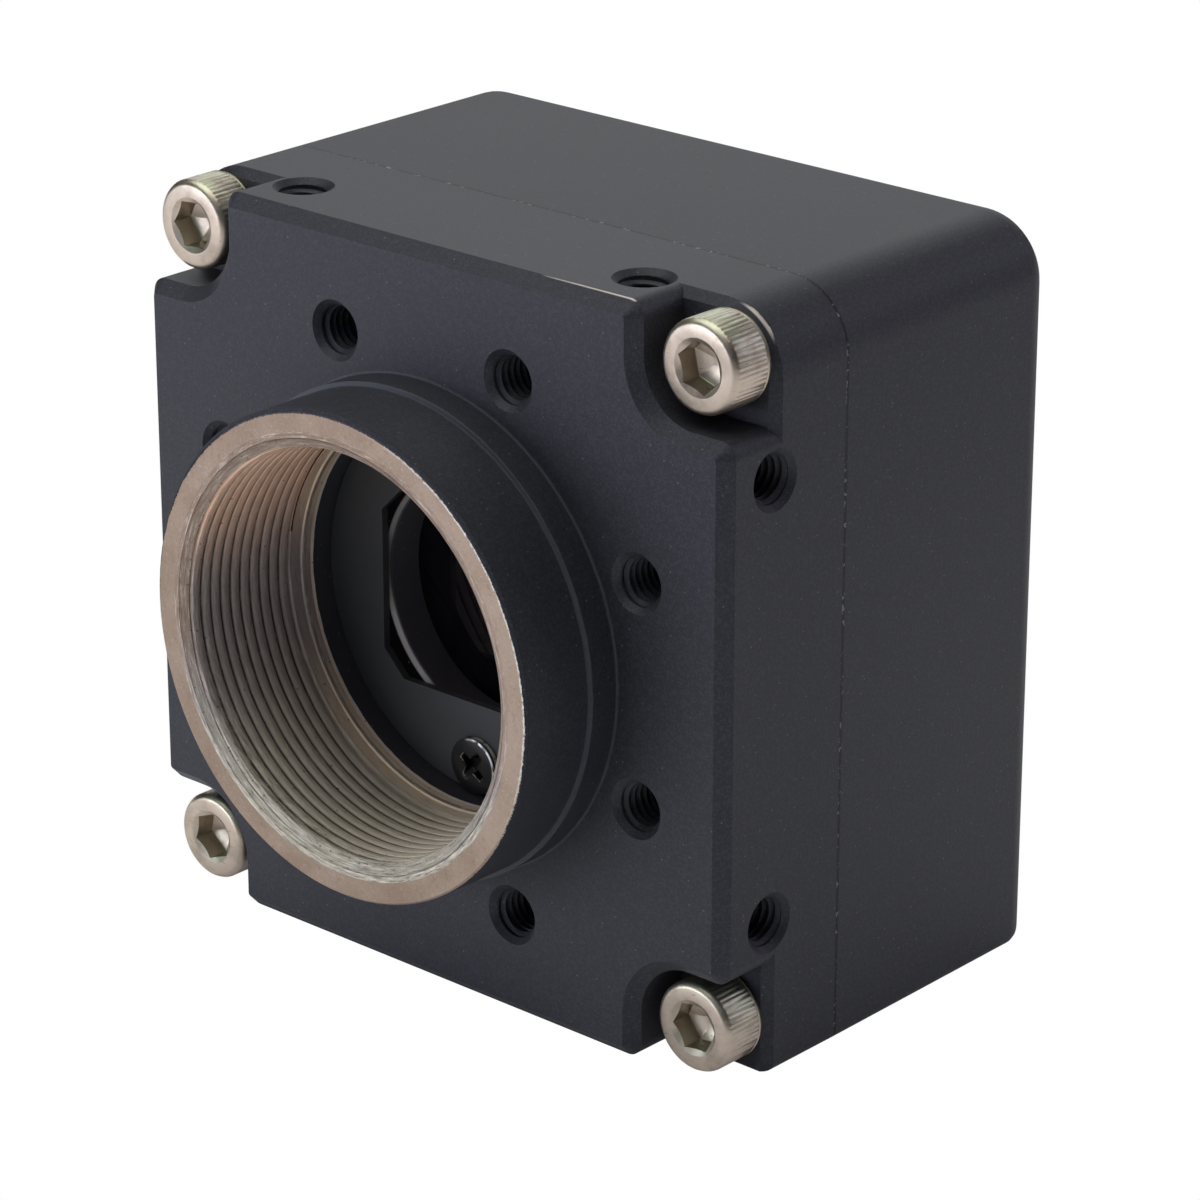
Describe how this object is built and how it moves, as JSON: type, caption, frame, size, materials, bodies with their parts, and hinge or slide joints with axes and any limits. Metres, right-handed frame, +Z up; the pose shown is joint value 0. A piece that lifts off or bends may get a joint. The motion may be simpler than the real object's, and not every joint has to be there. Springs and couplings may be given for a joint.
{
  "type": "machine vision camera",
  "caption": "Square black machine vision camera with a bare-metal threaded lens barrel, socket screws in corner pockets, tapped fixing holes and rear sockets; no lens fitted.",
  "frame": {"origin": "under the middle of the whole camera, on the plane its flat lower face stands on", "axes": "+Z up, the lens barrel looks along -Y, +X to the right seen from the front"},
  "size_m": [0.0456, 0.0408, 0.0457],
  "materials": {
    "black_anodised_body": "machined and black anodised, matt; lens face and thread left bare",
    "stainless_screw": "stainless steel, as headed and rolled",
    "black_anodised_plate": "thin plate, matt black anodised",
    "blackened_screw": "blackened steel",
    "filter_glass": "coated infrared-cut filter glass",
    "clear_glass": "clear cover glass",
    "seal_rubber": "black silicone rubber",
    "sensor_ceramic": "dark sintered ceramic",
    "sensor_silicon": "polished silicon",
    "circuit_board": "glass-fibre board with green solder mask",
    "frame_plastic": "moulded black plastic",
    "chip_moulding": "black moulding compound",
    "thermal_pad": "soft grey silicone",
    "connector_plastic": "black glass-filled plastic",
    "jack_steel": "tinned sheet steel",
    "nickel_plated_brass": "turned brass, matt nickel plated",
    "gold_contact": "gold plated brass",
    "light_pipe": "translucent clear plastic",
    "led_moulding": "milky resin"
  },
  "bodies": {
    "root": {"front_housing": "black_anodised_body", "rear_housing": "black_anodised_body", "housing_seal": "seal_rubber", "corner_screws": "stainless_screw", "mask_plate": "black_anodised_plate", "mask_screws": "blackened_screw", "filter_glass": "filter_glass", "sensor_seal": "seal_rubber", "sensor_package": "sensor_ceramic", "sensor_cover_glass": "clear_glass", "sensor_die": "sensor_silicon", "sensor_board": "circuit_board", "front_frame": "frame_plastic", "middle_frame": "frame_plastic", "processor_board": "circuit_board", "processor_chip": "chip_moulding", "memory_chips": "chip_moulding", "thermal_pad": "thermal_pad", "stack_plug": "connector_plastic", "stack_socket": "connector_plastic", "interface_board": "circuit_board", "rear_frame": "frame_plastic", "clamp_frame": "frame_plastic", "link_plug": "connector_plastic", "link_socket": "connector_plastic", "data_jack": "jack_steel", "data_jack_tongue": "connector_plastic", "round_connector_shell": "nickel_plated_brass", "round_connector_insert": "connector_plastic", "round_connector_pins": "gold_contact", "round_connector_nut": "nickel_plated_brass", "status_light_pipe": "light_pipe", "status_led": "led_moulding"}
  },
  "joints": []
}
